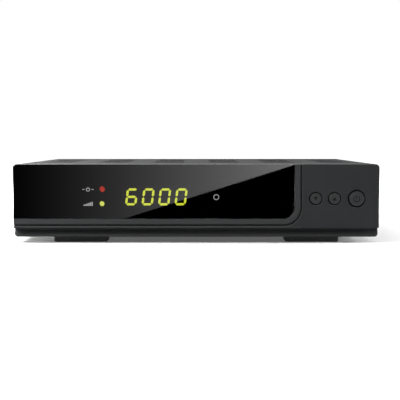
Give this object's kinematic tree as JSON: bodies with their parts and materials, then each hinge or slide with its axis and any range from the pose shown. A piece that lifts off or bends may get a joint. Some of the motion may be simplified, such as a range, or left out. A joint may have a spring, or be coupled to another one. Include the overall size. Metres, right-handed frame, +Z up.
{
  "type": "cable tv receiver",
  "caption": "Flat metal-cased receiver box with a dark display window, push buttons on the right of the front and aerial, picture, sound and mains sockets at the back.",
  "frame": {"origin": "centre of the bounding box at the surface that the feet stand on", "axes": "+Z up, the front faces -Y, +X to the right of someone who looks at the front"},
  "size_m": [0.22, 0.1752, 0.0476],
  "materials": {
    "front_plastic": "satin moulded black plastic",
    "bezel_plastic": "satin black plastic band",
    "window_acrylic": "polished smoked acrylic",
    "mask_film": "black film",
    "button_plastic": "satin black plastic",
    "cover_paint": "dark grey textured paint",
    "tray_steel": "galvanised sheet",
    "rear_paint": "black textured paint",
    "foot_rubber": "matt black rubber",
    "screw_steel": "zinc plated",
    "black_screw": "blackened steel",
    "green_board": "green solder mask",
    "paper_board": "tan paper board",
    "display_case": "black filled resin",
    "lit_segment": "lit yellow-green resin",
    "red_lens": "lit red resin",
    "yellow_lens": "lit yellow resin",
    "dark_lens": "infrared-pass resin",
    "white_plastic": "natural nylon",
    "black_plastic": "black moulding",
    "chip_resin": "black epoxy",
    "sink_aluminium": "anodised",
    "tin_plate": "tin plated sheet",
    "nickel": "nickel plated",
    "yellow_plastic": "yellow moulding",
    "white_insert": "white moulding",
    "red_plastic": "red moulding",
    "orange_plastic": "orange moulding",
    "capacitor_sleeve": "dark blue sleeve",
    "ferrite": "ferrite and tape",
    "filter_case": "yellow case",
    "fuse_glass": "clear",
    "ribbon_grey": "grey flat cable",
    "lead_jacket": "red and black leads",
    "pillar_brass": "plain"
  },
  "bodies": {
    "case": {"front_panel": "front_plastic", "window_bezel": "bezel_plastic", "display_window": "window_acrylic", "window_mask": "mask_film", "button_guide": "black_plastic", "press_switches": "black_plastic", "front_board": "green_board", "display_module": "display_case", "display_segments": "lit_segment", "power_led": "red_lens", "signal_led": "yellow_lens", "infrared_receiver": "dark_lens", "top_cover": "cover_paint", "chassis_tray": "tray_steel", "rear_panel": "rear_paint", "foot_front_left": "foot_rubber", "foot_front_right": "foot_rubber", "foot_rear_left": "foot_rubber", "foot_rear_right": "foot_rubber", "cover_screws": "black_screw", "rear_screws": "black_screw", "board_screws": "screw_steel", "tapping_screws": "screw_steel", "main_board": "green_board", "power_board": "paper_board", "standoffs": "pillar_brass", "processor": "chip_resin", "heat_sink": "sink_aluminium", "memory_chips": "chip_resin", "tuner_can": "tin_plate", "rf_connectors": "nickel", "rf_nuts": "nickel", "video_data_socket": "tin_plate", "socket_insulators": "white_plastic", "scart_socket": "black_plastic", "rca_housing": "black_plastic", "rca_rings": "nickel", "rca_video_insert": "yellow_plastic", "rca_left_insert": "white_insert", "rca_right_insert": "red_plastic", "rca_digital_insert": "orange_plastic", "mains_inlet": "black_plastic", "mains_pins": "nickel", "switch_housing": "black_plastic", "capacitors": "capacitor_sleeve", "transformer": "ferrite", "line_filter": "filter_case", "fuse": "fuse_glass", "power_heat_sink": "sink_aluminium", "board_headers": "white_plastic", "ribbon_cable": "ribbon_grey", "power_leads": "lead_jacket"},
    "down_button": {"button_down": "button_plastic", "plunger_down": "white_plastic"},
    "up_button": {"button_up": "button_plastic", "plunger_up": "white_plastic"},
    "power_button": {"button_power": "button_plastic", "plunger_power": "white_plastic"},
    "rocker": {"power_rocker": "black_plastic"}
  },
  "joints": [
    {"name": "down_press", "type": "slide", "parent": "case", "child": "down_button", "axis": [0, 1, 0], "range_m": [0, 0.0005], "stiffness_N_per_m": 2000, "springref_m": -0.0003},
    {"name": "up_press", "type": "slide", "parent": "case", "child": "up_button", "axis": [0, 1, 0], "range_m": [0, 0.0005], "stiffness_N_per_m": 2000, "springref_m": -0.0003},
    {"name": "power_press", "type": "slide", "parent": "case", "child": "power_button", "axis": [0, 1, 0], "range_m": [0, 0.0005], "stiffness_N_per_m": 2000, "springref_m": -0.0003},
    {"name": "rocker_tilt", "type": "hinge", "parent": "case", "child": "rocker", "pos_m": [-0.0635, 0.0758, 0.022], "axis": [0, 0, 1], "range_deg": [-24, 0]}
  ]
}
